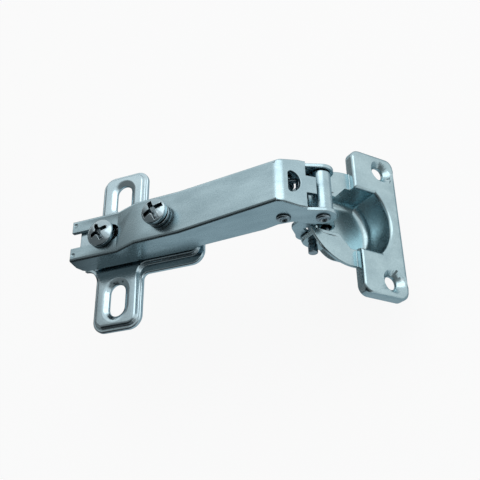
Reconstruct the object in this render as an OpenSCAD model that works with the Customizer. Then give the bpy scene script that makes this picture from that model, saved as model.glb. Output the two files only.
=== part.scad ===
// Angled concealed cup hinge with a slide-on arm, shown open.
// Millimetres. Z = 0 is the back of the mounting plate, +Z points out of it.
// +X runs along the arm towards the cup, and every hinge pin lies along Y.

/* [Mounting plate] */
// Half width of the raised panel, along the arm
panel_half_w = 7.4; // [7:0.1:8]
// Half length of the raised panel, across the arm
panel_half_l = 26.7; // [26:0.1:29]
// Height of the panel's face over the plate's back
panel_h = 2.6; // [2.4:0.1:3.2]
// Width of the lower ledge round the panel
ledge_w = 1.2; // [1:0.1:1.6]
// Sheet thickness of the plate
plate_t = 1.4; // [1.2:0.1:1.5]
// Distance between the two slots' centres
slot_pitch = 36; // [35:0.5:37]
// Length of a slot from end to end
slot_l = 10.6; // [9:0.2:11]
// Width of a slot
slot_w = 5.6; // [5:0.1:6]
// Reach of the plate under the arm, towards the cup
front_reach = 28.5; // [27:0.5:31]
// Reach of the plate under the arm's fork
rear_reach = 12.5; // [12:0.5:13.5]

/* [Arm] */
// Sheet thickness of the arm's web
web_t = 1.3; // [1.1:0.1:1.5]
// Sheet thickness of the arm's flanges
flange_t = 1.2; // [1:0.1:1.3]
// Height of the fork's top over the plate's face
tail_z = 9.9; // [9.6:0.1:10.4]
// Half width of the arm at the fork
tail_half_w = 7.1; // [6.9:0.1:7.6]
// Half width of the arm at the rear pin
neck_half_w = 6.6; // [6.5:0.1:7]
// Half width of the arm at the front pin
front_half_w = 7.65; // [7.5:0.05:8]
// Place of the elbow along the arm
elbow_x = 61.3; // [59:0.1:64]
// Height of the elbow over the plate's face
elbow_z = 17.8; // [17.2:0.1:18.4]
// How steeply the cup end dips, in degrees
dip_deg = 43.5; // [42:0.5:45]
// Half width of the fork's slot
fork_half_w = 2.65; // [2.6:0.05:2.9]

/* [Screws] */
// Thread radius of both screws
screw_r = 2.5; // [2.3:0.05:2.5]
// Head radius of the clamp screw
clamp_head_r = 4.5; // [4.2:0.1:5]
// Head radius of the side-adjusting screw
side_head_r = 4; // [3.7:0.1:4.5]
// Place of the side-adjusting screw along the arm
side_x = 21.8; // [20.5:0.1:22.5]

/* [Links and pins] */
// Radius of the two riveted arm pins
arm_pin_r = 1.5; // [1.3:0.05:1.6]
// Radius of the two cup pins
cup_pin_r = 1.2; // [1:0.05:1.25]
// Sheet thickness of the outer link
link_t = 1.4; // [1.2:0.1:1.5]
// Thickness of the inner link
inner_t = 1.8; // [1.5:0.1:2]

/* [Cup] */
// Distance between the two fixing holes
hole_pitch = 38; // [37:0.5:39]
// Radius of a fixing hole
hole_r = 2.1; // [1.9:0.1:2.3]
// Outer diameter of the drawn bowl
bowl_d = 29.6; // [29.2:0.1:30]
// Diameter of the rim that lies on the door
rim_d = 31.8; // [31.4:0.1:32.2]
// Sheet thickness of the cup and its wing plate
cup_t = 1.2; // [1:0.1:1.3]
// Depth of the bowl's floor under the wing plate's face
floor_depth = 11.7; // [11.5:0.1:12.4]
// Height of the wing plate's face over the door
lip_h = 3.7; // [3.6:0.1:3.8]

/* [Hidden] */
$fn = 48;
// Overlap that joins two shapes of one piece
eps = 0.02;
// Play of a riveted pin in its sheet
seat = 0.015;
// Radial running clearance of a pin or thread
run_clear = 0.05;
// Radial clearance of the pivot where the closed linkage is cut open
open_clear = 0.5;
// Play between flat faces that slide on each other
slide_gap = 0.1;
// Gap between two layers of sheet side by side
layer_gap = 0.3;
// Far enough for a cut to run right through any piece
through = 20;
zinc = [0.62, 0.72, 0.75];
steel = [0.5, 0.6, 0.64];

// Side view of the arm, counted from the plate's face
tail_x = -11.5;
step0 = [5.4, tail_z];
step1 = [13.1, tail_z + 2.8];
rise = [28.1, tail_z + 3.2];
elbow = [elbow_x, elbow_z];
dip = [cos(dip_deg), -sin(dip_deg)];
notch_s = 8.4;
tongue_s = 11.5;
tongue_half_w = 2.7;
front_end_r = 3.8;
rear_pivot = elbow + [-2.5, -10.1];
front_pivot = elbow + [8.2, -12.8];

// Side view of the cup: across its wing plate, and out of the plate's face
cup_at = elbow + [21.2, -38.5];
cup_turn = 52.7;
cup_c = -12.2;
outer_pivot = [-22.3, -8.7];
inner_pivot = [-20, -5];
// Middle of the open pivot's hole, seen from its pin
open_shift = [0.35, 0.3];
outer_c = to_arm(outer_pivot);
inner_c = to_arm(inner_pivot);

// Layers of sheet from the middle outwards
front_in = front_half_w - flange_t;
barrel_half = front_in - layer_gap;
link_cheek_t = 1.2;
link_cheek_out = barrel_half - 0.25;
link_cheek_in = link_cheek_out - link_cheek_t;
cup_cheek_in = link_cheek_out + layer_gap;
inner_half_w = link_cheek_in - 0.5;
wire_r = 0.6;
coil_pitch = 1.1;
coils = 2;
coil_out = neck_half_w - flange_t - 0.2;
coil_in = coil_out - 2 * wire_r - (coils - 1) * coil_pitch;
inner_barrel_half = coil_in - layer_gap;

// Bridge under the arm
bridge_t = 1.3;
bridge_top = tail_z - web_t - slide_gap;
bridge_half_w = tail_half_w - flange_t - 0.5;
bridge_x0 = 3.5 - rear_reach;
bridge_x1 = front_reach - 2;

// Collar under the side screw's head
collar_r = side_head_r - 0.2;
collar_h = 1.05;
collar_z = web_z(side_x + collar_r);

// Point of the cup's side view as a point of the arm's
function to_arm(p) = [cup_at[0] + p[0] * cos(cup_turn) + p[1] * sin(cup_turn),
    cup_at[1] - p[0] * sin(cup_turn) + p[1] * cos(cup_turn)];
function unit(v) = v / norm(v);
function left(v) = [-v[1], v[0]];
function way(p, i) = unit(p[min(i + 1, len(p) - 1)] - p[min(i, len(p) - 2)]);
// A path's point moved down by t, square to the path and mitred at its corners
function shifted(p, i, t) = let (a = left(way(p, max(i - 1, 0))), b = left(way(p, i)))
    p[i] - t * (a + b) / (1 + a * b);
// Height of the arm's top between its step and its rise
function web_z(x) = step1[1] + (rise[1] - step1[1]) * (x - step1[0]) / (rise[0] - step1[0]);

module on_face() {
    translate([0, 0, panel_h]) children();
}

module at_cup() {
    translate([cup_at[0], 0, panel_h + cup_at[1]]) rotate([0, cup_turn, 0]) children();
}

module at_elbow() {
    translate([elbow[0], 0, elbow[1]]) rotate([0, dip_deg, 0]) children();
}

module slab(z0, z1) {
    translate([0, 0, z0]) linear_extrude(z1 - z0) children();
}

// A side view drawn out along Y
module along_y(from, to) {
    translate([0, to, 0]) rotate([90, 0, 0]) linear_extrude(to - from) children();
}

module y_rod(p, r, from, to) {
    translate([p[0], to, p[1]]) rotate([90, 0, 0]) cylinder(r = r, h = to - from);
}

module both_sides() {
    children();
    mirror([0, 1, 0]) children();
}

module round_rect(x0, x1, y0, y1, r) {
    translate([x0 + r, y0]) square([x1 - x0 - 2 * r, y1 - y0]);
    translate([x0, y0 + r]) square([x1 - x0, y1 - y0 - 2 * r]);
    for (x = [x0 + r, x1 - r], y = [y0 + r, y1 - r]) translate([x, y]) circle(r);
}

// Fills the inside corner at x, y with an arc that opens towards sx, sy
module inside_corner(x, y, sx, sy, r) {
    lap = 0.5;
    mid = (r - lap) / 2;
    difference() {
        translate([x + sx * mid, y + sy * mid]) square(r + lap, center = true);
        translate([x + sx * r, y + sy * r]) circle(r);
    }
}

module bar(a, b, w) {
    translate(a) rotate(atan2(b[1] - a[1], b[0] - a[0])) translate([0, -w / 2]) square([norm(b - a), w]);
}

module stadium(half_l, r) {
    translate([-r, r - half_l]) square([2 * r, 2 * (half_l - r)]);
    for (s = [-1, 1]) translate([0, s * (half_l - r)]) circle(r);
}

// Head with a flat seat at the bottom and a domed top
module domed_head(r, h, crown_h) {
    dome_r = (r * r + crown_h * crown_h) / (2 * crown_h);
    intersection() {
        cylinder(r = r, h = h);
        translate([0, 0, h - dome_r]) sphere(dome_r, $fn = 96);
    }
}

// Cross recess cut down from height z, turned as the screw happened to stop
module cross_recess(x, z, size, blade, depth) {
    core_r = 1.3;
    for (a = [25, 115]) translate([x, 0, z - depth]) rotate(a)
        translate([-size / 2, -blade / 2, 0]) cube([size, blade, depth + 1]);
    translate([x, 0, z - depth]) cylinder(r1 = core_r / 2, r2 = core_r, h = depth + eps);
}

// Mounting plate

module plate_outline(grow, front_grow) {
    corner = 3;
    rear_corner = 2;
    front_half = 7.5;
    rear_half = 4.5;
    rear_fillet = 6;
    round_rect(-panel_half_w - grow, panel_half_w + grow,
        -panel_half_l - grow, panel_half_l + grow, corner + grow);
    round_rect(0, front_reach + grow, -front_half - front_grow, front_half + front_grow, corner + grow);
    round_rect(-rear_reach - grow, 0, -rear_half - grow, rear_half + grow, rear_corner + grow);
    for (s = [-1, 1]) {
        inside_corner(panel_half_w + grow, s * (front_half + front_grow), 1, s, corner - grow);
        inside_corner(-panel_half_w - grow, s * (rear_half + grow), -1, s, rear_fillet - grow);
    }
}

dish_depth = 1;
dish_w = 1.6;

module slot_dish() {
    narrow = slot_w / 2;
    wide = narrow + dish_w;
    straight = (slot_l - slot_w) / 2;
    along_y(-straight, straight)
        polygon([[-narrow, -dish_depth], [narrow, -dish_depth], [wide, 0], [-wide, 0]]);
    for (s = [-1, 1]) translate([0, s * straight, -dish_depth])
        cylinder(r1 = narrow, r2 = wide, h = dish_depth);
    slab(-eps, 1) stadium(slot_l / 2 + dish_w, wide);
}

module slot_cut() {
    slab(-panel_h - 1, 1) stadium(slot_l / 2, slot_w / 2);
    slot_dish();
}

module bridge() {
    thread_collar_h = 3.2;
    thread_collar_t = 1.5;
    neck_slot_half_w = 1.85;
    neck_slot_x = side_x - 2.8;
    web_low = bridge_top - bridge_t;
    difference() {
        union() {
            difference() {
                translate([bridge_x0, -bridge_half_w, -plate_t])
                    cube([bridge_x1 - bridge_x0, 2 * bridge_half_w, bridge_top + plate_t]);
                translate([bridge_x0 - 1, bridge_t - bridge_half_w, -plate_t - 1])
                    cube([bridge_x1 - bridge_x0 + 2, 2 * (bridge_half_w - bridge_t), web_low + plate_t + 1]);
            }
            translate([0, 0, web_low - thread_collar_h])
                cylinder(r = screw_r + thread_collar_t, h = thread_collar_h + eps);
        }
        translate([0, 0, web_low - thread_collar_h - 1])
            cylinder(r = screw_r + run_clear, h = thread_collar_h + bridge_t + 2);
        translate([neck_slot_x, 0, web_low - 1]) cylinder(r = neck_slot_half_w, h = bridge_t + 2);
        translate([neck_slot_x, -neck_slot_half_w, web_low - 1])
            cube([bridge_x1 - neck_slot_x + 1, 2 * neck_slot_half_w, bridge_t + 2]);
    }
}

module mounting_plate() color(zinc) on_face() {
    // The foot under the arm is wider than the ledge round the panel
    foot_w = 2.9;
    dish_t = 0.9;
    difference() {
        union() {
            slab(plate_t - panel_h - eps, 0) plate_outline(0, 0);
            slab(-panel_h, plate_t - panel_h) plate_outline(ledge_w, foot_w);
        }
        slab(-panel_h - 1, -plate_t) plate_outline(-plate_t, -plate_t);
        for (s = [-1, 1]) translate([0, s * slot_pitch / 2]) slot_cut();
        // The bridge is pressed up out of this opening
        translate([bridge_x0, bridge_t - bridge_half_w, -panel_h])
            cube([bridge_x1 - bridge_x0, 2 * (bridge_half_w - bridge_t), panel_h + 1]);
    }
    // Sheet pressed down round each slot
    for (s = [-1, 1]) translate([0, s * slot_pitch / 2]) difference() {
        slab(-dish_depth - dish_t, eps - plate_t) stadium(slot_l / 2 + dish_w, slot_w / 2 + dish_w);
        slot_cut();
    }
    bridge();
}

// Arm

arm_path = [[tail_x, tail_z], step0, step1, rise, elbow, elbow + tongue_s * dip];
arm_half = [[tail_x - 2, tail_half_w], [rise[0], tail_half_w], [elbow_x - 4.3, neck_half_w],
    [elbow_x - 1, neck_half_w], [elbow_x + 4.2, front_half_w], [elbow_x + 20, front_half_w]];

module arm_plan(inset) {
    n = len(arm_half);
    polygon(concat([for (p = arm_half) [p[0], p[1] - inset]],
        [for (i = [n - 1:-1:0]) [arm_half[i][0], inset - arm_half[i][1]]]));
}

module web_side() {
    n = len(arm_path);
    polygon(concat(arm_path, [for (i = [n - 1:-1:0]) shifted(arm_path, i, web_t)]));
}

module flange_side() {
    // Gap between the flanges and the plate's face
    low = 1.2;
    lug_dip = 1.4;
    lug_s = notch_s + 0.3;
    bulge = 0.9;
    lug_turn = 15;
    polygon([[tail_x + 1.4, low], [tail_x - 0.2, low + 1], [tail_x - bulge, tail_z / 2], [tail_x, tail_z],
        step0, step1, rise, elbow, elbow + notch_s * dip, elbow + lug_s * dip - lug_dip * left(dip),
        front_pivot + front_end_r * (cos(lug_turn) * left(dip) - sin(lug_turn) * dip), front_pivot,
        front_pivot - front_end_r * [sin(20), cos(20)], rear_pivot + [3.2, -3.6], rear_pivot + [-2.8, -3.3],
        rear_pivot + [-7.3, -4.4], rise + [1.9, -10.8], [rise[0], low]]);
    translate(front_pivot) circle(front_end_r);
}

// The web ends in a tongue between two notches
module arm_web() difference() {
    intersection() {
        along_y(-through, through) web_side();
        slab(-through, 2 * through) arm_plan(0);
    }
    both_sides() at_elbow() translate([notch_s, tongue_half_w, -through / 4])
        cube([through, through, through / 2]);
}

module arm_flanges() intersection() {
    along_y(-through, through) flange_side();
    slab(-through, 2 * through) difference() {
        arm_plan(0);
        arm_plan(flange_t);
    }
}

// Window over the links, with its flat side to the elbow
module arm_window() {
    window_r = 3.35;
    flat = 0.35;
    corner = 1;
    window_s = 3.3;
    at_elbow() translate([window_s, 0, -through / 4]) linear_extrude(through / 2) intersection() {
        circle(window_r);
        round_rect(-flat, 2 * window_r, -window_r, window_r, corner);
    }
}

module arm_fork() {
    fork_end_x = 3.2;
    low = tail_z - 2 * web_t;
    high = 4 * web_t;
    translate([fork_end_x, 0, low]) cylinder(r = fork_half_w, h = high);
    translate([fork_end_x - through, -fork_half_w, low]) cube([through, 2 * fork_half_w, high]);
}

module hinge_arm() color(zinc) on_face() difference() {
    union() {
        arm_web();
        arm_flanges();
    }
    dent_r = 0.6;
    dent_y = 5.2;
    dent_depth = 0.25;
    arm_window();
    arm_fork();
    // Small dents on the fork's ends
    both_sides() translate([tail_x + 2 * dent_r, dent_y, tail_z - dent_depth]) cylinder(r = dent_r, h = 1);
    translate([side_x, 0, 0]) cylinder(r = screw_r + run_clear, h = through);
    y_rod(front_pivot, arm_pin_r + seat, -through, through);
    y_rod(rear_pivot, arm_pin_r + seat, -through, through);
}

// Screws

module clamp_screw() color(steel) on_face() {
    head_h = 2.6;
    crown_h = 1.2;
    recess_w = 5.8;
    blade_t = 1.3;
    recess_h = 1.9;
    tip_z = 3;
    head_z = tail_z + run_clear;
    difference() {
        union() {
            translate([0, 0, tip_z]) cylinder(r = screw_r, h = head_z - tip_z + eps);
            translate([0, 0, head_z]) domed_head(clamp_head_r, head_h, crown_h);
        }
        cross_recess(0, head_z + head_h, recess_w, blade_t, recess_h);
    }
}

module side_screw_collar() color(steel) on_face() difference() {
    translate([side_x, 0, collar_z]) cylinder(r = collar_r, h = collar_h);
    translate([side_x, 0, collar_z - 1]) cylinder(r = screw_r + run_clear, h = collar_h + 2);
}

module side_screw() color(steel) on_face() {
    neck_r = 1.55;
    disc_h = 1.2;
    disc_top = bridge_top - bridge_t - layer_gap;
    thread_z = bridge_top + 0.4;
    head_z = collar_z + collar_h + 0.9;
    head_h = 2.4;
    crown_h = 0.9;
    recess_w = 2 * side_head_r - 1.4;
    blade_t = 1.4;
    recess_h = 2;
    difference() {
        union() {
            translate([side_x, 0, disc_top - disc_h]) cylinder(r = screw_r, h = disc_h);
            translate([side_x, 0, disc_top - eps]) cylinder(r = neck_r, h = thread_z - disc_top + 2 * eps);
            translate([side_x, 0, thread_z]) cylinder(r = screw_r, h = head_z - thread_z + eps);
            translate([side_x, 0, head_z]) domed_head(side_head_r, head_h, crown_h);
        }
        cross_recess(side_x, head_z + head_h, recess_w, blade_t, recess_h);
    }
}

// Pins and spring

module headed_pin(p, half) {
    rivet_w = 0.55;
    rivet_h = 0.5;
    dome_h = 0.35;
    dish_r = arm_pin_r - 0.3;
    dish_h = 0.7;
    end = half + seat + rivet_h + dome_h;
    difference() {
        union() {
            y_rod(p, arm_pin_r, -half - seat - eps, half + seat + eps);
            both_sides() translate([p[0], half + seat, p[1]]) rotate([-90, 0, 0]) {
                cylinder(r = arm_pin_r + rivet_w, h = rivet_h);
                translate([0, 0, rivet_h]) cylinder(r1 = arm_pin_r + rivet_w, r2 = arm_pin_r, h = dome_h);
            }
        }
        // The punch leaves a dish in each end
        both_sides() translate([p[0], end - dish_h, p[1]]) rotate([-90, 0, 0])
            cylinder(r1 = dish_r / 2, r2 = dish_r, h = dish_h + eps);
    }
}

module front_arm_pin() color(steel) on_face() headed_pin(front_pivot, front_half_w);

module rear_arm_pin() color(steel) on_face() headed_pin(rear_pivot, neck_half_w);

module closing_spring() color(steel) on_face() {
    $fn = 24;
    coil_r = arm_pin_r + 0.8 + wire_r;
    cross_reach = 5.2;
    cross_rise = 1.5;
    cross = rear_pivot + [cross_reach, cross_rise];
    top = rear_pivot + [0, coil_r];
    leg_y = coil_in + wire_r;
    leg_r = wire_r - 0.05;
    both_sides() {
        translate([rear_pivot[0], coil_out - wire_r, rear_pivot[1]]) rotate([90, 0, 0]) rotate_extrude()
            for (i = [0:coils - 1]) translate([coil_r, i * coil_pitch]) circle(wire_r);
        translate([top[0], leg_y, top[1]]) rotate([0, 90 - atan2(cross[1] - top[1], cross[0] - top[0]), 0])
            cylinder(r = leg_r, h = norm(cross - top));
    }
    // Bar that joins the two coils' legs
    y_rod(cross, wire_r, -leg_y - wire_r, leg_y + wire_r);
}

// Links

module outer_cheek() {
    eye_r = cup_pin_r + link_t;
    bulge = outer_c + [-1.6, 1.4];
    bulge_r = 3;
    knee = outer_c + [-1.2, 6.8];
    knee_r = 2.7;
    translate(outer_c) circle(eye_r);
    bar(outer_c, bulge, 2 * eye_r - link_t / 2);
    translate(bulge) circle(bulge_r);
    bar(bulge, knee, 2 * knee_r);
    translate(knee) circle(knee_r);
    bar(knee, front_pivot, 2 * knee_r);
}

// Way of the inner cup pin round the outer one, cut out of the cheeks
module pin_way() {
    reach = norm(inner_c - outer_c);
    way_gap = 0.45;
    half = cup_pin_r + way_gap;
    far = 2 * reach;
    from_deg = -22;
    to_deg = 96;
    steps = 3;
    intersection() {
        difference() {
            translate(outer_c) circle(reach + half);
            translate(outer_c) circle(reach - half);
        }
        translate(outer_c) polygon(concat([[0, 0]],
            [for (i = [0:steps]) let (a = from_deg + i * (to_deg - from_deg) / steps) far * [cos(a), sin(a)]]));
    }
}

module outer_link() color(zinc) on_face() difference() {
    lug_r = arm_pin_r + link_t;
    web_lean = 2.2;
    web_drop = 8.6;
    web_from = front_pivot + [lug_r - link_t / 2, 0];
    web_to = web_from - [web_lean, web_drop];
    union() {
        y_rod(front_pivot, lug_r, -barrel_half, barrel_half);
        along_y(-link_cheek_out, link_cheek_out) bar(web_from, web_to, link_t);
        both_sides() along_y(link_cheek_in, link_cheek_out) difference() {
            outer_cheek();
            pin_way();
        }
    }
    y_rod(front_pivot, arm_pin_r + run_clear, -through, through);
    y_rod(outer_c, cup_pin_r + run_clear, -through, through);
}

module inner_link() color(zinc) on_face() {
    hub_wall = 1.5;
    eye_wall = 0.85;
    shoulder_share = 0.55;
    eye = inner_c + open_shift;
    eye_r = cup_pin_r + open_clear + eye_wall;
    shoulder = rear_pivot + shoulder_share * (eye - rear_pivot);
    difference() {
        union() {
            y_rod(rear_pivot, arm_pin_r + hub_wall, -inner_barrel_half, inner_barrel_half);
            y_rod(eye, eye_r, -inner_half_w, inner_half_w);
            along_y(-inner_barrel_half, inner_barrel_half) bar(rear_pivot, eye, inner_t);
            along_y(-inner_half_w, inner_half_w) bar(shoulder, eye, inner_t);
        }
        y_rod(rear_pivot, arm_pin_r + run_clear, -through, through);
        y_rod(eye, cup_pin_r + open_clear, -through, through);
    }
}

// Cup

wing_x0 = -11.1;
wing_x1 = 5.6;
wing_half_l = 24.4;
foot_r = 3.8;
floor_t = 1.1;
rim_t = 1.1;
mouth_half_w = 10.2;
sink_depth = 1.9;
sink_w = 1.9;
// The floor ends here, and the bowl is open beyond it towards the arm
floor_end = -18.5;
outer_pin_half = 11.3;
inner_pin_half = 9;

module wing_outline(grow) {
    round_rect(wing_x0 - grow, wing_x1 + grow, -wing_half_l - grow, wing_half_l + grow, 3 + grow);
}

// Plan of the hollow: a bowl with straight sides that narrows to the gap between the cheeks
module hollow_plan(grow) {
    wide_x = -13;
    narrow_x = -17;
    wide = mouth_half_w + grow;
    narrow = cup_cheek_in + grow;
    intersection() {
        union() {
            translate([cup_c, 0]) circle(bowl_d / 2 - cup_t + grow);
            translate([narrow_x - through, -narrow]) square([through, 2 * narrow]);
        }
        polygon([[-2 * through, -narrow], [narrow_x, -narrow], [wide_x, -wide], [through, -wide],
            [through, wide], [wide_x, wide], [narrow_x, narrow], [-2 * through, narrow]]);
    }
}

// A round bowl with a rounded foot, from its bottom up to its top
module bowl(r, bottom, corner, top) {
    translate([cup_c, 0, 0]) rotate_extrude() {
        translate([0, bottom]) square([r - corner, top - bottom]);
        translate([0, bottom + corner]) square([r, top - bottom - corner]);
        intersection() {
            translate([r - corner, bottom + corner]) circle(corner);
            translate([0, bottom]) square([r, corner]);
        }
    }
}

// A straight trough with rounded lower edges, open at its top
module trough(half, bottom, corner) {
    translate([-2 * through, 0, 0]) rotate([90, 0, 90]) linear_extrude(4 * through) {
        translate([corner - half, bottom]) square([2 * (half - corner), 1 - bottom]);
        translate([-half, bottom + corner]) square([2 * half, 1 - bottom - corner]);
        for (s = [-1, 1]) translate([s * (half - corner), bottom + corner]) circle(corner);
    }
}

module cup_cheeks() {
    wall = 1.5;
    corner = 2;
    x0 = outer_pivot[0] - cup_pin_r - wall;
    x1 = -15.5;
    low = outer_pivot[1] - cup_pin_r - wall;
    both_sides() along_y(cup_cheek_in, cup_cheek_in + cup_t)
        round_rect(x0, x1, low, eps - lip_h + rim_t, corner);
}

module cup_solid() {
    intersection() {
        bowl(bowl_d / 2, -floor_depth - floor_t, foot_r, 0);
        trough(mouth_half_w + cup_t, -floor_depth - floor_t, foot_r);
        union() {
            slab(-floor_depth - floor_t - 1, rim_t - lip_h) hollow_plan(cup_t);
            slab(-lip_h, 0) intersection() {
                hollow_plan(cup_t);
                wing_outline(0);
            }
        }
    }
    slab(-lip_h, rim_t - lip_h) translate([cup_c, 0]) circle(rim_d / 2);
    cup_cheeks();
}

module hole_boss() {
    translate([0, 0, -sink_depth - 1])
        cylinder(r1 = hole_r + cup_t, r2 = hole_r + sink_w + cup_t, h = sink_depth + 1 - eps);
}

module hole_cut() {
    translate([0, 0, -lip_h]) cylinder(r = hole_r, h = lip_h + 1);
    translate([0, 0, -sink_depth]) cylinder(r1 = hole_r, r2 = hole_r + sink_w, h = sink_depth);
    translate([0, 0, -eps]) cylinder(r = hole_r + sink_w, h = 1);
}

module hinge_cup() color(zinc) at_cup() difference() {
    union() {
        difference() {
            slab(-lip_h, 0) wing_outline(0);
            slab(-lip_h - 1, -cup_t) wing_outline(-cup_t);
        }
        cup_solid();
        for (s = [-1, 1]) translate([0, s * hole_pitch / 2, 0]) hole_boss();
    }
    intersection() {
        bowl(bowl_d / 2 - cup_t, -floor_depth, foot_r - cup_t, 1);
        trough(mouth_half_w, -floor_depth, foot_r - cup_t);
        slab(-floor_depth - 1, 2) hollow_plan(0);
    }
    translate([floor_end - through, -cup_cheek_in, -through])
        cube([through, 2 * cup_cheek_in, 2 * through]);
    for (s = [-1, 1]) translate([0, s * hole_pitch / 2, 0]) hole_cut();
    y_rod(outer_pivot, cup_pin_r + seat, -through, through);
    y_rod(inner_pivot, cup_pin_r + seat, -through, through);
}

module outer_cup_pin() color(steel) at_cup() {
    knob_w = 0.25;
    knob_h = 2.6;
    y_rod(outer_pivot, cup_pin_r, -outer_pin_half, outer_pin_half);
    both_sides() y_rod(outer_pivot, cup_pin_r + knob_w, outer_pin_half - knob_h, outer_pin_half);
}

module inner_cup_pin() color(steel) at_cup()
    y_rod(inner_pivot, cup_pin_r, -inner_pin_half, inner_pin_half);

mounting_plate();
hinge_arm();
clamp_screw();
side_screw();
side_screw_collar();
front_arm_pin();
rear_arm_pin();
closing_spring();
outer_link();
inner_link();
hinge_cup();
outer_cup_pin();
inner_cup_pin();
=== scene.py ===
"""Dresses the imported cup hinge: pressed and plated sheet, turned steel, soft light and a white floor."""

import logging
import math
from dataclasses import dataclass
from enum import Enum
from typing import Callable

import bmesh
import bpy
from bmesh.types import BMEdge, BMesh
from bpy.types import Material, Node, NodeSocket, NodeTree, Object
from mathutils import Matrix, Vector

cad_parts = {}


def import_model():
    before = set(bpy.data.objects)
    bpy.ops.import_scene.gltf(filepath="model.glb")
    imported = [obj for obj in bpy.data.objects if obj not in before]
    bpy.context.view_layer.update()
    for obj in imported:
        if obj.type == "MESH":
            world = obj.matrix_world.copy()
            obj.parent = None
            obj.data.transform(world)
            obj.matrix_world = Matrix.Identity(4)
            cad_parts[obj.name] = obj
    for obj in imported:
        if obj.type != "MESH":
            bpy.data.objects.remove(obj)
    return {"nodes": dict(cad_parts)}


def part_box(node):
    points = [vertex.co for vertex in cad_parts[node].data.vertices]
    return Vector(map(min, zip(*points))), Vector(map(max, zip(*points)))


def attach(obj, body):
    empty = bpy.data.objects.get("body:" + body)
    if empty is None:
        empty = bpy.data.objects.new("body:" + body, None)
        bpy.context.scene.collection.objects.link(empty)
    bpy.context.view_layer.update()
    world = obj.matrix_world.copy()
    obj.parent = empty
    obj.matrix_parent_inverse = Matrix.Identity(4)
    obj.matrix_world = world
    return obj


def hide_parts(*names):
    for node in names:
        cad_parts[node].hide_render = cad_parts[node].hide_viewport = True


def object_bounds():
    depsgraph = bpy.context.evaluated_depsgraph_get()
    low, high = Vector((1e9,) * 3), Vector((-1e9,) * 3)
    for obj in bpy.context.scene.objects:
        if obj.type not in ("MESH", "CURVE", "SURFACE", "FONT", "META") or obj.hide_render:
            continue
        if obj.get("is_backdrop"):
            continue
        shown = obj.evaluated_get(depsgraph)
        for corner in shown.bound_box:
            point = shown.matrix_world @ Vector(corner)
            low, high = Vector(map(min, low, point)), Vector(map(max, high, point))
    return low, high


LOG = logging.getLogger("hinge")
MM = 0.001

# Colour sockets of the Mix node, whose names repeat for each data type
MIX_UNDER = 6
MIX_OVER = 7
MIX_RESULT = 2


class Slot(Enum):
    """Material slots of the record."""

    SHEET = "zinc_sheet"
    STEEL = "steel_parts"


class Effect(Enum):
    """Shared patterns, each one a node group."""

    MOTTLE = "plating mottle"
    # Lighter edges: partly worn plating and partly a painted highlight
    GRAIN = "rolled grain"
    # Painted shade: darkening where the ambient occlusion finds corners, recesses and overhanging parts
    WEAR_AND_HIGHLIGHT = "worn edges and painted highlight"
    PAINTED_SHADE = "painted shade in corners"


@dataclass(frozen=True)
class Tone:
    """A colour in linear light."""

    red: float
    green: float
    blue: float

    def rgba(self) -> tuple[float, float, float, float]:
        """The colour with full alpha.

        Returns:
            Red, green, blue and alpha.
        """
        return (self.red, self.green, self.blue, 1.0)


class GroupMaker:
    """Builds one node group with named inputs and outputs."""

    def __init__(self, effect: Effect) -> None:
        """Starts an empty group for an effect.

        Args:
            effect: The pattern that the group will hold.
        """
        self.tree: NodeTree = bpy.data.node_groups.new(effect.value, "ShaderNodeTree")
        self.entry = self.tree.nodes.new("NodeGroupInput")
        self.exit = self.tree.nodes.new("NodeGroupOutput")

    def take(self, name: str, default: float) -> NodeSocket:
        """Adds a number input.

        Args:
            name: The input's name.
            default: Its value when nothing is set.

        Returns:
            The socket that gives the input inside the group.
        """
        socket = self.tree.interface.new_socket(name, in_out="INPUT", socket_type="NodeSocketFloat")
        socket.default_value = default
        return self.entry.outputs[name]

    def give(self, name: str, source: NodeSocket) -> None:
        """Adds a number output.

        Args:
            name: The output's name.
            source: The socket that feeds it.
        """
        self.tree.interface.new_socket(name, in_out="OUTPUT", socket_type="NodeSocketFloat")
        self.tree.links.new(source, self.exit.inputs[name])

    def node(self, kind: str, **values: object) -> Node:
        """Adds a node and sets its properties.

        Args:
            kind: Blender's type name of the node.
            values: Properties to set on it.

        Returns:
            The new node.
        """
        return add_node(self.tree, kind, **values)

    def link(self, source: NodeSocket, target: NodeSocket) -> None:
        """Joins two sockets.

        Args:
            source: The output.
            target: The input.
        """
        self.tree.links.new(source, target)

    def math(self, operation: str, first: NodeSocket, second: NodeSocket | float) -> NodeSocket:
        """Adds a Math node.

        Args:
            operation: Blender's name of the operation.
            first: The first operand.
            second: The second operand, a socket or a number.

        Returns:
            The result.
        """
        node = self.node("ShaderNodeMath", operation=operation)
        self.link(first, node.inputs[0])
        if isinstance(second, float):
            node.inputs[1].default_value = second
        else:
            self.link(second, node.inputs[1])
        return node.outputs[0]

    def spread(self, source: NodeSocket, low: float, high: float) -> NodeSocket:
        """Maps low..high to 0..1, clamped.

        Args:
            source: The value to map.
            low: The value that becomes 0.
            high: The value that becomes 1.

        Returns:
            The mapped value.
        """
        node = self.node("ShaderNodeMapRange")
        node.inputs["From Min"].default_value = low
        node.inputs["From Max"].default_value = high
        self.link(source, node.inputs["Value"])
        return node.outputs["Result"]

    def noise(self, place: NodeSocket, scale: NodeSocket, detail: float) -> NodeSocket:
        """Adds a noise pattern.

        Args:
            place: Where the pattern is read.
            scale: Its scale.
            detail: How many finer layers it has.

        Returns:
            The pattern's value, about 0.5 on average.
        """
        node = self.node("ShaderNodeTexNoise")
        node.inputs["Detail"].default_value = detail
        self.link(place, node.inputs["Vector"])
        self.link(scale, node.inputs["Scale"])
        return node.outputs["Fac"]


def add_node(tree: NodeTree, kind: str, **values: object) -> Node:
    """Adds a node to a tree and sets its properties.

    Args:
        tree: The tree.
        kind: Blender's type name of the node.
        values: Properties to set on it.

    Returns:
        The new node.
    """
    node = tree.nodes.new(kind)
    for name, value in values.items():
        setattr(node, name, value)
    return node


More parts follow.
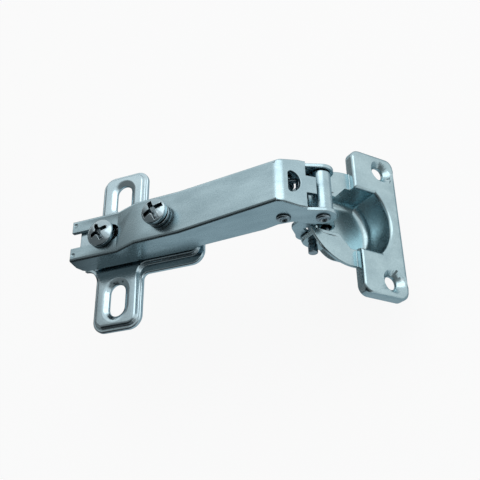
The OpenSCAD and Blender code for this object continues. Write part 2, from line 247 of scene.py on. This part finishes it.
def mottle_group() -> NodeTree:
    """Soft patches with finer specks over them, as dull plating has.

    Returns:
        The group, with Scale and Speck in and Mask out.
    """
    lengthwise = 0.3
    finer = 13.0
    maker = GroupMaker(Effect.MOTTLE)
    scale = maker.take("Scale", 260.0)
    sharp = maker.take("Speck", 0.8)
    place = maker.node("ShaderNodeTexCoord").outputs["Object"]
    drawn = maker.node("ShaderNodeMapping")
    drawn.inputs["Scale"].default_value = (lengthwise, 1.0, 1.0)
    maker.link(place, drawn.inputs["Vector"])
    broad = maker.noise(drawn.outputs["Vector"], scale, 4.0)
    fine = maker.noise(place, maker.math("MULTIPLY", scale, finer), 3.0)
    speck = maker.math("MULTIPLY", maker.math("SUBTRACT", fine, 0.5), sharp)
    maker.give("Mask", maker.spread(maker.math("ADD", broad, speck), 0.25, 0.75))
    return maker.tree


def grain_group() -> NodeTree:
    """Fine pits and short drawn lines of rolled sheet.

    Returns:
        The group, with Scale in and Height out.
    """
    lengthwise = 0.35
    coarser = 0.12
    wave_share = 1.6
    maker = GroupMaker(Effect.GRAIN)
    scale = maker.take("Scale", 1500.0)
    stretch = maker.node("ShaderNodeMapping")
    stretch.inputs["Scale"].default_value = (lengthwise, 1.0, 1.0)
    maker.link(maker.node("ShaderNodeTexCoord").outputs["Object"], stretch.inputs["Vector"])
    pits = maker.noise(stretch.outputs["Vector"], scale, 5.0)
    waves = maker.noise(stretch.outputs["Vector"], maker.math("MULTIPLY", scale, coarser), 2.0)
    maker.give("Height", maker.math("ADD", pits, maker.math("MULTIPLY", waves, wave_share)))
    return maker.tree


def wear_and_highlight_group() -> NodeTree:
    """Edges and creases lightened, broken up by noise: partly plating rubbed bright and partly a painted
    highlight along the bends.

    Returns:
        The group, with Reach and Scale in and Mask out.
    """
    level, bent = 1.0, 0.88
    maker = GroupMaker(Effect.WEAR_AND_HIGHLIGHT)
    reach = maker.take("Reach", 0.3 * MM)
    scale = maker.take("Scale", 900.0)
    # The bevel normal finds edges and creases, which are lightened partly as wear and partly as a painted
    # highlight
    soft = maker.node("ShaderNodeBevel", samples=4)
    maker.link(reach, soft.inputs["Radius"])
    turn = maker.node("ShaderNodeVectorMath", operation="DOT_PRODUCT")
    maker.link(soft.outputs["Normal"], turn.inputs[0])
    maker.link(maker.node("ShaderNodeNewGeometry").outputs["Normal"], turn.inputs[1])
    bend = maker.spread(turn.outputs["Value"], level, bent)
    place = maker.node("ShaderNodeTexCoord").outputs["Object"]
    patches = maker.spread(maker.noise(place, scale, 3.0), 0.35, 0.7)
    maker.give("Mask", maker.math("MULTIPLY", bend, patches))
    return maker.tree


def painted_shade_group() -> NodeTree:
    """Painted shade: darkens corners, recesses and places under neighbouring parts that the ambient
    occlusion finds sheltered, broken up by noise.

    Returns:
        The group, with Reach and Scale in and Mask out.
    """
    open_air, shut_in = 0.9, 0.35
    maker = GroupMaker(Effect.PAINTED_SHADE)
    reach = maker.take("Reach", 2.5 * MM)
    scale = maker.take("Scale", 500.0)
    # The ambient occlusion paints shade into the colour where surfaces, also of other parts, shelter a
    # point
    shelter = maker.node("ShaderNodeAmbientOcclusion", samples=6)
    maker.link(reach, shelter.inputs["Distance"])
    place = maker.node("ShaderNodeTexCoord").outputs["Object"]
    patches = maker.spread(maker.noise(place, scale, 3.0), 0.1, 0.55)
    closed = maker.spread(shelter.outputs["AO"], open_air, shut_in)
    maker.give("Mask", maker.math("MULTIPLY", closed, patches))
    return maker.tree


MAKERS: dict[Effect, Callable[[], NodeTree]] = {
    Effect.MOTTLE: mottle_group,
    Effect.GRAIN: grain_group,
    Effect.WEAR_AND_HIGHLIGHT: wear_and_highlight_group,
    Effect.PAINTED_SHADE: painted_shade_group,
}


@dataclass(frozen=True)
class Finish:
    """Plated metal with mottle, grain, edges lightened partly as wear and partly as a painted highlight,
    and painted shade in its corners.
    """

    name: str
    pale: Tone
    dark: Tone
    # Lighter colour on edges and creases: partly worn plating and partly a painted highlight
    wear_and_highlight: Tone
    # Colour of the painted shade laid into corners, recesses and under neighbouring parts
    painted_shade: Tone
    smooth: float
    dull: float
    mottle_scale: float
    grain_scale: float
    grain_height: float
    # How strongly edges lighten, as wear and as painted highlight
    wear_and_highlight_amount: float
    # How strongly the painted shade darkens the colour
    painted_shade_amount: float

    def effect(self, tree: NodeTree, effect: Effect, **values: float) -> Node:
        """Places a shared pattern in the material.

        Args:
            tree: The material's tree.
            effect: The pattern.
            values: Its inputs, by name.

        Returns:
            The group node.
        """
        group = bpy.data.node_groups.get(effect.value) or MAKERS[effect]()
        node = add_node(tree, "ShaderNodeGroup", node_tree=group, label=effect.value)
        for name, value in values.items():
            node.inputs[name].default_value = value
        return node

    def blend(self, tree: NodeTree, mask: NodeSocket, under: NodeSocket | Tone, over: Tone,
              amount: float) -> NodeSocket:
        """Lays one colour over another where a mask says so.

        Args:
            tree: The material's tree.
            mask: Where the upper colour lies.
            under: The lower colour.
            over: The upper colour.
            amount: The mask's strength.

        Returns:
            The mixed colour.
        """
        weight = add_node(tree, "ShaderNodeMath", operation="MULTIPLY")
        weight.inputs[1].default_value = amount
        tree.links.new(mask, weight.inputs[0])
        mix = add_node(tree, "ShaderNodeMix", data_type="RGBA")
        tree.links.new(weight.outputs[0], mix.inputs["Factor"])
        if isinstance(under, Tone):
            mix.inputs[MIX_UNDER].default_value = under.rgba()
        else:
            tree.links.new(under, mix.inputs[MIX_UNDER])
        mix.inputs[MIX_OVER].default_value = over.rgba()
        return mix.outputs[MIX_RESULT]

    def material(self) -> Material:
        """The finish as a material, made once.

        Returns:
            The material.
        """
        found = bpy.data.materials.get(self.name)
        if found:
            return found
        made = bpy.data.materials.new(self.name)
        made.use_nodes = True
        tree = made.node_tree
        shader = tree.nodes["Principled BSDF"]
        mottle = self.effect(tree, Effect.MOTTLE, Scale=self.mottle_scale)
        grain = self.effect(tree, Effect.GRAIN, Scale=self.grain_scale)
        # Edge mask for wear and painted highlight
        wear_and_highlight_node = self.effect(tree, Effect.WEAR_AND_HIGHLIGHT)
        painted_shade = self.effect(tree, Effect.PAINTED_SHADE)
        colour = self.blend(tree, mottle.outputs["Mask"], self.pale, self.dark, 1.0)
        # Painted shade: darkens the colour in corners, recesses and under neighbouring parts
        colour = self.blend(tree, painted_shade.outputs["Mask"], colour, self.painted_shade, self.painted_shade_amount)
        # Lightens edges and creases: partly wear, partly painted highlight
        colour = self.blend(tree, wear_and_highlight_node.outputs["Mask"], colour, self.wear_and_highlight, self.wear_and_highlight_amount)
        tree.links.new(colour, shader.inputs["Base Color"])
        sheen = add_node(tree, "ShaderNodeMapRange")
        sheen.inputs["To Min"].default_value = self.smooth
        sheen.inputs["To Max"].default_value = self.dull
        tree.links.new(mottle.outputs["Mask"], sheen.inputs["Value"])
        tree.links.new(sheen.outputs["Result"], shader.inputs["Roughness"])
        shader.inputs["Metallic"].default_value = 1.0
        bump = add_node(tree, "ShaderNodeBump")
        bump.inputs["Strength"].default_value = 1.0
        bump.inputs["Distance"].default_value = self.grain_height
        tree.links.new(grain.outputs["Height"], bump.inputs["Height"])
        tree.links.new(bump.outputs["Normal"], shader.inputs["Normal"])
        return made


# The dark corner tone of each finish is painted shade; screws and pins take it at full strength in their
# recesses
PLATE_FINISH = Finish(
    name="pale_zinc_plate", pale=Tone(0.57, 0.71, 0.76), dark=Tone(0.46, 0.60, 0.66),
    wear_and_highlight=Tone(0.84, 0.90, 0.92), painted_shade=Tone(0.08, 0.14, 0.18), smooth=0.17, dull=0.25,
    mottle_scale=170.0, grain_scale=1500.0, grain_height=0.005 * MM, wear_and_highlight_amount=0.6, painted_shade_amount=0.4)

ARM_FINISH = Finish(
    name="satin_zinc_arm", pale=Tone(0.47, 0.62, 0.67), dark=Tone(0.35, 0.48, 0.53),
    wear_and_highlight=Tone(0.80, 0.88, 0.90), painted_shade=Tone(0.04, 0.07, 0.09), smooth=0.22, dull=0.32,
    mottle_scale=230.0, grain_scale=1800.0, grain_height=0.007 * MM, wear_and_highlight_amount=0.6, painted_shade_amount=0.45)

CUP_FINISH = Finish(
    name="drawn_zinc_cup", pale=Tone(0.47, 0.62, 0.66), dark=Tone(0.37, 0.50, 0.54),
    wear_and_highlight=Tone(0.80, 0.88, 0.90), painted_shade=Tone(0.05, 0.08, 0.10), smooth=0.19, dull=0.28,
    mottle_scale=200.0, grain_scale=1700.0, grain_height=0.005 * MM, wear_and_highlight_amount=0.6, painted_shade_amount=0.3)

SCREW_FINISH = Finish(
    name="plated_screw_steel", pale=Tone(0.46, 0.56, 0.60), dark=Tone(0.31, 0.41, 0.45),
    wear_and_highlight=Tone(0.88, 0.92, 0.93), painted_shade=Tone(0.015, 0.03, 0.04), smooth=0.15, dull=0.25,
    mottle_scale=420.0, grain_scale=2600.0, grain_height=0.004 * MM, wear_and_highlight_amount=0.6, painted_shade_amount=1.0)

PIN_FINISH = Finish(
    name="dark_pin_steel", pale=Tone(0.36, 0.44, 0.48), dark=Tone(0.20, 0.27, 0.31),
    wear_and_highlight=Tone(0.72, 0.78, 0.80), painted_shade=Tone(0.015, 0.03, 0.04), smooth=0.18, dull=0.30,
    mottle_scale=500.0, grain_scale=2600.0, grain_height=0.004 * MM, wear_and_highlight_amount=0.5, painted_shade_amount=1.0)


@dataclass
class Piece:
    """One piece of the hinge: a copy of its solid with rounded edges, and its finish."""

    node: str
    body: str
    slot: Slot
    finish: Finish
    edge: float = 0.25 * MM
    widest: float = 0.25 * MM
    segments: int = 4
    sharp_deg: float = 24.0
    corner_deg: float = 30.0
    flat_deg: float = 1.0
    join: float = 0.04 * MM
    thin: float = 0.01 * MM
    on_cut: float = 0.005 * MM
    cuts: tuple[Vector, ...] = ()

    def round_for(self, edge: BMEdge) -> float:
        """How far the rounding of an edge reaches; a pressing overrides this for its bends.

        Args:
            edge: A sharp edge of the merged mesh.

        Returns:
            The reach in metres, 0 for an edge that stays crisp.
        """
        return self.edge

    def merged(self) -> BMesh:
        """A copy of the solid's mesh with shared corners and whole flat faces.

        Returns:
            The mesh, with its wide faces cut where the piece asks for it.
        """
        mesh = bmesh.new()
        mesh.from_mesh(bpy.data.objects[self.node].data)
        bmesh.ops.remove_doubles(mesh, verts=mesh.verts, dist=self.join)
        bmesh.ops.dissolve_degenerate(mesh, dist=self.thin, edges=mesh.edges)
        flat = math.radians(self.flat_deg)
        bmesh.ops.dissolve_limit(mesh, angle_limit=flat, verts=mesh.verts, edges=mesh.edges)
        for cut in self.cuts:
            whole = [*mesh.verts, *mesh.edges, *mesh.faces]
            way = cut.normalized()
            bmesh.ops.bisect_plane(mesh, geom=whole, dist=self.on_cut, plane_co=cut, plane_no=way)
        mesh.normal_update()
        return mesh

    def is_sharp(self, edge: BMEdge) -> bool:
        """Whether an edge is sharp enough to be rounded.

        Args:
            edge: The edge.

        Returns:
            True if its two faces meet at a real fold.
        """
        return edge.is_manifold and edge.calc_face_angle() > math.radians(self.sharp_deg)

    def run_of(self, edge: BMEdge) -> list[BMEdge]:
        """The sharp edges that go on smoothly from an edge, without a real corner.

        Args:
            edge: The edge to start from.

        Returns:
            The whole run, with the edge itself.
        """
        run = [edge]
        for each in run:
            for vert in each.verts:
                sharp = [other for other in vert.link_edges if self.is_sharp(other)]
                if len(sharp) != 2:
                    continue
                ways = [other.other_vert(vert).co - vert.co for other in sharp]
                if ways[0].angle(ways[1]) > math.radians(180 - self.corner_deg):
                    run.extend(other for other in sharp if other not in run)
        return run

    def roundings(self, mesh: BMesh) -> dict[BMEdge, float]:
        """How far each sharp edge is rounded, the same along each smooth run.

        Args:
            mesh: The mesh.

        Returns:
            The reach of the rounding by edge.
        """
        reach: dict[BMEdge, float] = {}
        for edge in mesh.edges:
            if edge in reach or not self.is_sharp(edge):
                continue
            run = self.run_of(edge)
            lengths: dict[float, float] = {}
            for each in run:
                wide = self.round_for(each)
                lengths[wide] = lengths.get(wide, 0.0) + each.calc_length()
            most = max(lengths, key=lengths.__getitem__)
            reach.update((each, most) for each in run)
        return reach

    def build(self) -> Object:
        """Makes the piece, dresses it and puts it on its body.

        Returns:
            The finished object.
        """
        mesh = self.merged()
        weights = mesh.edges.layers.float.new("bevel_weight_edge")
        for edge, wide in self.roundings(mesh).items():
            edge[weights] = wide / self.widest
        data = bpy.data.meshes.new(self.node + "_dressed")
        mesh.to_mesh(data)
        mesh.free()
        data.shade_smooth()
        piece = bpy.data.objects.new(self.node + "_dressed", data)
        bpy.context.scene.collection.objects.link(piece)
        bend = piece.modifiers.new("rounded edges", "BEVEL")
        bend.width = self.widest
        bend.segments = self.segments
        bend.limit_method = "WEIGHT"
        bend.use_clamp_overlap = False
        bend.loop_slide = False
        even = piece.modifiers.new("even shading", "WEIGHTED_NORMAL")
        even.keep_sharp = False
        data.materials.append(self.finish.material())
        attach(piece, self.body)
        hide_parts(self.node)
        LOG.info("%s rides on %s with %s", piece.name, self.body, self.finish.name)
        return piece


def facing(edge: BMEdge, way: Vector, least: float) -> bool:
    """Whether one of an edge's faces looks along a direction.

    Args:
        edge: The edge.
        way: The direction.
        least: The smallest cosine that counts.

    Returns:
        True if a face does.
    """
    return any(face.normal.dot(way) > least for face in edge.link_faces)


def middle(edge: BMEdge) -> Vector:
    """The middle of an edge.

    Args:
        edge: The edge.

    Returns:
        The point halfway along it.
    """
    return (edge.verts[0].co + edge.verts[1].co) / 2


def along(edge: BMEdge, way: Vector) -> float:
    """How nearly an edge runs along a direction.

    Args:
        edge: The edge.
        way: The direction.

    Returns:
        0 for an edge across it to 1 for one along it.
    """
    return abs((edge.verts[1].co - edge.verts[0].co).normalized().dot(way))


UP = Vector((0, 0, 1))
SIDE = Vector((0, 1, 0))
LEVEL = 0.9
STRAIGHT = 0.99
NEAR = 0.1 * MM


@dataclass(frozen=True)
class Patch:
    """A rectangle in plan, the same on both sides of the middle plane."""

    low: float
    high: float
    inner: float
    outer: float

    def holds(self, length: float, side: float) -> bool:
        """Whether a point lies in the patch.

        Args:
            length: Its place along the patch.
            side: Its signed distance from the middle plane.

        Returns:
            True if it does.
        """
        return self.low < length < self.high and self.inner <= abs(side) < self.outer


@dataclass
class MountingPlate(Piece):
    """The pressed plate: rounded panel, ledge, dished slots and bridge."""

    node: str = "mounting_plate"
    body: str = "plate"
    slot: Slot = Slot.SHEET
    finish: Finish = PLATE_FINISH
    widest: float = 0.9 * MM
    panel: float = 0.9 * MM
    ledge: float = 0.45 * MM
    dish: float = 0.6 * MM
    tab: float = 0.25 * MM
    corner_deg: float = 0.0
    panel_top: float = 2.6 * MM
    ledge_top: float = 1.5 * MM
    bridge_area: Patch = Patch(-9.1 * MM, 26.6 * MM, 0.0, 4.55 * MM)
    slot_area: Patch = Patch(-5.2 * MM, 5.2 * MM, 9.0 * MM, 25.5 * MM)
    tab_area: Patch = Patch(-20.0 * MM, -7.9 * MM, 0.0, 8.0 * MM)
    cuts: tuple[Vector, ...] = tuple(
        [Vector((place * MM, 0, 0)) for place in (-8.6, -5.4, 5.4, 8.2, 15.0)]
        + [Vector((0, place * MM, 0)) for place in (-18.0, -12.0, -8.0, 8.0, 12.0, 18.0)])

    def round_for(self, edge: BMEdge) -> float:
        """Wide on the panel's upper edge, less on the ledge, least elsewhere.

        Args:
            edge: A sharp edge of the merged mesh.

        Returns:
            The reach in metres, 0 under the rear tab.
        """
        place = middle(edge)
        on_tab = self.tab_area.holds(place.x, place.y)
        if not facing(edge, UP, LEVEL):
            return 0.0 if on_tab else self.edge
        if self.bridge_area.holds(place.x, place.y):
            return self.edge
        if on_tab:
            return self.tab
        if abs(place.z - self.panel_top) < NEAR:
            return self.dish if self.slot_area.holds(place.x, place.y) else self.panel
        return self.ledge if place.z < self.ledge_top else self.edge


@dataclass
class HingeArm(Piece):
    """The pressed arm: a channel bent over at its elbow."""

    node: str = "hinge_arm"
    body: str = "arm"
    slot: Slot = Slot.SHEET
    finish: Finish = ARM_FINISH
    widest: float = 2.0 * MM
    segments: int = 6
    elbow: float = 2.0 * MM
    fold: float = 0.95 * MM
    step: float = 0.4 * MM
    web_area: float = 20 * MM * MM
    web_tilt: float = 0.6
    web_half: float = 6.3 * MM
    crossing: float = 8 * MM
    elbow_from: float = 50 * MM
    slope_from: float = 66 * MM

    def round_for(self, edge: BMEdge) -> float:
        """Wide across the elbow and the steps, less where the flanges fold down.

        Args:
            edge: A sharp edge of the merged mesh.

        Returns:
            The reach in metres.
        """
        place = middle(edge)
        if along(edge, SIDE) > STRAIGHT and edge.calc_length() > self.crossing:
            return self.elbow if place.x > self.elbow_from else self.step
        web = any(face.normal.z > self.web_tilt and face.calc_area() > self.web_area
                  for face in edge.link_faces)
        flange = facing(edge, SIDE, LEVEL) or facing(edge, -SIDE, LEVEL)
        outer = abs(place.y) > self.web_half and place.x < self.slope_from
        return self.fold if web and flange and outer else self.edge


@dataclass
class HingeCup(Piece):
    """The drawn cup: wing plate with turned-down edges, a soft mouth and a bowl."""

    node: str = "hinge_cup"
    body: str = "cup"
    slot: Slot = Slot.SHEET
    finish: Finish = CUP_FINISH
    widest: float = 1.4 * MM
    lip: float = 1.15 * MM
    mouth: float = 1.4 * MM
    turn_deg: float = 52.7
    centre_x: float = 82.5 * MM
    centre_z: float = -18.1 * MM
    mouth_area: Patch = Patch(-11.0 * MM, 3.0 * MM, 0.0, 10.4 * MM)
    hole_area: Patch = Patch(-4.2 * MM, 4.2 * MM, 14.8 * MM, 23.2 * MM)

    def round_for(self, edge: BMEdge) -> float:
        """Wide along the mouth and the wing plate's outer edge, none on the countersinks.

        Args:
            edge: A sharp edge of the merged mesh.

        Returns:
            The reach in metres.
        """
        turn = math.radians(self.turn_deg)
        out = Vector((math.sin(turn), 0, math.cos(turn)))
        place = middle(edge) - Vector((self.centre_x, 0, self.centre_z))
        if not facing(edge, out, LEVEL) or abs(place.dot(out)) > NEAR:
            return self.edge
        beyond = -place.dot(out.cross(SIDE))
        if self.hole_area.holds(beyond, place.y):
            return 0.0
        return self.mouth if self.mouth_area.holds(beyond, place.y) else self.lip


@dataclass
class Screw(Piece):
    """A screw with a domed head and a cross recess with crisp edges."""

    slot: Slot = Slot.STEEL
    finish: Finish = SCREW_FINISH
    axis_x: float = 0.0
    head_r: float = 4.5 * MM
    head_h: float = 2.2 * MM
    rim: float = 0.05 * MM
    recess: float = 0.1 * MM

    def round_for(self, edge: BMEdge) -> float:
        """Least round the recess, more on the head's seat and rim.

        Args:
            edge: A sharp edge of the merged mesh.

        Returns:
            The reach in metres.
        """
        place = middle(edge)
        reach = math.hypot(place.x - self.axis_x, place.y)
        top = max(vert.co.z for face in edge.link_faces for vert in face.verts)
        in_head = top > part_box(self.node)[1].z - self.head_h
        return self.recess if in_head and reach < self.head_r - self.rim else self.edge


@dataclass(frozen=True)
class Card:
    """A dark square that gives the bright metal its dark side."""

    name: str
    left: float
    right: float
    half: float
    place: Vector
    upright: bool


class Studio:
    """Camera, lamp, surroundings, white floor and two dark cards that only reflections see."""

    SENSOR = 36.0
    LENS = 51.92
    CAMERA_PLACE = Vector((0.11352, -0.09969, 0.17127))
    CAMERA_RIGHT = Vector((0.9182, -0.01445, -0.3959))
    CAMERA_BACK = Vector((0.3468, -0.4537, 0.8209))
    NEAREST = 10 * MM
    FLOOR_DROP = 12 * MM
    FLOOR_HALF = 4.0
    FLOOR_TONE = Tone(0.85, 0.85, 0.85)
    FLOOR_GLOW = 0.9
    CARD_RISE = 4 * MM
    CARD_TONE = Tone(0.80, 0.93, 1.0)
    FADE_FROM = -55 * MM
    FADE_TO = -2 * MM
    SKY_TONE = Tone(0.97, 0.99, 1.0)
    SKY_WAY = (0.5, 0.8, 0.2)
    SKY_FADE = (0.08, 0.27)
    SKY_LEVELS = (0.2, 0.95)

    def __init__(self, low: Vector, high: Vector) -> None:
        """Places the stage round the object's box.

        Args:
            low: Its lowest corner.
            high: Its highest corner.
        """
        self.middle = (low + high) / 2
        self.floor_z = low.z - self.FLOOR_DROP

    def camera(self) -> Object:
        """The camera at the photograph's viewing angle.

        Returns:
            The camera.
        """
        data = bpy.data.cameras.new("camera")
        data.sensor_width = self.SENSOR
        data.lens = self.LENS
        data.clip_start = self.NEAREST
        camera = bpy.data.objects.new("camera", data)
        camera.location = self.CAMERA_PLACE
        back = self.CAMERA_BACK.normalized()
        up = back.cross(self.CAMERA_RIGHT).normalized()
        right = up.cross(back)
        camera.rotation_euler = Matrix((right, up, back)).transposed().to_euler()
        bpy.context.scene.collection.objects.link(camera)
        bpy.context.scene.camera = camera
        return camera

    def lamp(self, name: str, way: Vector, distance: float, size: float, power: float) -> Object:
        """A square soft lamp that looks at the object's middle.

        Args:
            name: The lamp's name.
            way: Direction from the object to the lamp.
            distance: How far away it stands.
            size: The side of its square.
            power: Its power in watts.

        Returns:
            The lamp.
        """
        data = bpy.data.lights.new(name, "AREA")
        data.size = size
        data.energy = power
        lamp = bpy.data.objects.new(name, data)
        lamp.location = self.middle + way.normalized() * distance
        lamp.rotation_euler = way.to_track_quat("Z", "Y").to_euler()
        bpy.context.scene.collection.objects.link(lamp)
        return lamp

    def sheet(self, name: str, size: float, place: Vector) -> Object:
        """A square level sheet of the stage.

        Args:
            name: Its name.
            size: Half its side.
            place: Its middle.

        Returns:
            The sheet.
        """
        mesh = bmesh.new()
        bmesh.ops.create_grid(mesh, x_segments=1, y_segments=1, size=size)
        bmesh.ops.translate(mesh, verts=mesh.verts, vec=place)
        data = bpy.data.meshes.new(name)
        mesh.to_mesh(data)
        mesh.free()
        sheet = bpy.data.objects.new(name, data)
        bpy.context.scene.collection.objects.link(sheet)
        sheet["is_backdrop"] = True
        return sheet

    def floor(self) -> Object:
        """The white floor, with the object's soft shadow.

        Returns:
            The floor.
        """
        floor = self.sheet("floor", self.FLOOR_HALF, Vector((0, 0, self.floor_z)))
        made = bpy.data.materials.new("white_floor")
        made.use_nodes = True
        tree = made.node_tree
        tree.nodes.remove(tree.nodes["Principled BSDF"])
        matt = add_node(tree, "ShaderNodeBsdfDiffuse")
        matt.inputs["Color"].default_value = self.FLOOR_TONE.rgba()
        glow = add_node(tree, "ShaderNodeEmission")
        path = add_node(tree, "ShaderNodeLightPath")
        seen = path.outputs["Is Camera Ray"]
        for kind in ("Is Glossy Ray", "Is Transmission Ray"):
            either = add_node(tree, "ShaderNodeMath", operation="MAXIMUM")
            tree.links.new(seen, either.inputs[0])
            tree.links.new(path.outputs[kind], either.inputs[1])
            seen = either.outputs[0]
        share = add_node(tree, "ShaderNodeMath", operation="MULTIPLY")
        share.inputs[1].default_value = self.FLOOR_GLOW
        tree.links.new(seen, share.inputs[0])
        mix = add_node(tree, "ShaderNodeMixShader")
        tree.links.new(share.outputs[0], mix.inputs[0])
        tree.links.new(matt.outputs[0], mix.inputs[1])
        tree.links.new(glow.outputs[0], mix.inputs[2])
        tree.links.new(mix.outputs[0], tree.nodes["Material Output"].inputs["Surface"])
        floor.data.materials.append(made)
        return floor

    def card(self, plan: Card) -> Object:
        """Stands or lays one dark card, brighter towards its right.

        Args:
            plan: The card's place, size and levels, where white is 1.

        Returns:
            The card.
        """
        card = self.sheet(plan.name, plan.half, Vector())
        if plan.upright:
            card.data.transform(Matrix.Rotation(math.radians(90), 4, "X"))
        card.data.transform(Matrix.Translation(plan.place))
        made = bpy.data.materials.new(plan.name)
        made.use_nodes = True
        tree = made.node_tree
        tree.nodes.remove(tree.nodes["Principled BSDF"])
        glow = add_node(tree, "ShaderNodeEmission")
        glow.inputs["Color"].default_value = self.CARD_TONE.rgba()
        split = add_node(tree, "ShaderNodeSeparateXYZ")
        tree.links.new(add_node(tree, "ShaderNodeTexCoord").outputs["Object"], split.inputs[0])
        fade = add_node(tree, "ShaderNodeMapRange")
        fade.inputs["From Min"].default_value = self.FADE_FROM
        fade.inputs["From Max"].default_value = self.FADE_TO
        fade.inputs["To Min"].default_value = plan.left
        fade.inputs["To Max"].default_value = plan.right
        tree.links.new(split.outputs["X"], fade.inputs["Value"])
        tree.links.new(fade.outputs["Result"], glow.inputs["Strength"])
        tree.links.new(glow.outputs[0], tree.nodes["Material Output"].inputs["Surface"])
        card.data.materials.append(made)
        card.visible_camera = False
        card.visible_diffuse = False
        card.visible_transmission = False
        card.visible_shadow = False
        return card

    def world(self) -> None:
        """Plain surroundings, bright behind the object, dark before it and white to the camera."""
        world = bpy.data.worlds.new("surroundings")
        bpy.context.scene.world = world
        world.use_nodes = True
        tree = world.node_tree
        sky = tree.nodes["Background"]
        toward = add_node(tree, "ShaderNodeVectorMath", operation="DOT_PRODUCT")
        tree.links.new(add_node(tree, "ShaderNodeTexCoord").outputs["Generated"], toward.inputs[0])
        toward.inputs[1].default_value = self.SKY_WAY
        level = add_node(tree, "ShaderNodeMapRange")
        level.inputs["From Min"].default_value = self.SKY_FADE[0]
        level.inputs["From Max"].default_value = self.SKY_FADE[1]
        level.inputs["To Min"].default_value = self.SKY_LEVELS[0]
        level.inputs["To Max"].default_value = self.SKY_LEVELS[1]
        tree.links.new(toward.outputs["Value"], level.inputs["Value"])
        seen = add_node(tree, "ShaderNodeMath", operation="MAXIMUM")
        tree.links.new(level.outputs["Result"], seen.inputs[0])
        tree.links.new(add_node(tree, "ShaderNodeLightPath").outputs["Is Camera Ray"], seen.inputs[1])
        tree.links.new(seen.outputs[0], sky.inputs["Strength"])
        sky.inputs["Color"].default_value = self.SKY_TONE.rgba()

    def build(self) -> None:
        """Sets up the whole stage."""
        self.camera()
        self.world()
        self.floor()
        low = Vector((-0.12, -0.05, self.floor_z + self.CARD_RISE))
        front = Vector((-0.1, -0.33, 0.2))
        self.card(Card("low card", left=0.03, right=0.52, half=0.26, place=low, upright=False))
        self.card(Card("front card", left=0.02, right=0.05, half=0.25, place=front, upright=True))
        self.lamp("overhead lamp", Vector((0.3, 0.45, 0.83)), distance=0.5, size=0.34, power=0.4)


def main() -> None:
    """Loads the frame, measures its box, dresses every piece and sets up the stage round that box."""
    logging.basicConfig(level=logging.INFO, format="%(name)s: %(message)s")
    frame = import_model()
    cad_low, cad_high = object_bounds()
    scene = bpy.context.scene
    scene.view_settings.view_transform = "Standard"
    pieces = [
        MountingPlate(),
        HingeArm(),
        HingeCup(),
        Screw("clamp_screw", "clamp_screw"),
        Screw("side_screw", "side_screw", axis_x=21.8 * MM, head_r=4.0 * MM),
        Piece("side_screw_collar", "arm", Slot.STEEL, SCREW_FINISH),
        Piece("front_arm_pin", "arm", Slot.STEEL, PIN_FINISH),
        Piece("rear_arm_pin", "arm", Slot.STEEL, PIN_FINISH),
        Piece("outer_link", "outer_link", Slot.SHEET, ARM_FINISH),
        Piece("inner_link", "inner_link", Slot.SHEET, ARM_FINISH),
        Piece("outer_cup_pin", "cup", Slot.STEEL, PIN_FINISH),
        Piece("inner_cup_pin", "cup", Slot.STEEL, PIN_FINISH),
    ]
    for piece in pieces:
        piece.build()
    spring = frame["nodes"]["closing_spring"]
    spring.data.materials.clear()
    spring.data.materials.append(PIN_FINISH.material())
    LOG.info("closing_spring keeps its solid with %s", PIN_FINISH.name)
    Studio(cad_low, cad_high).build()


if __name__ == "__main__":
    main()
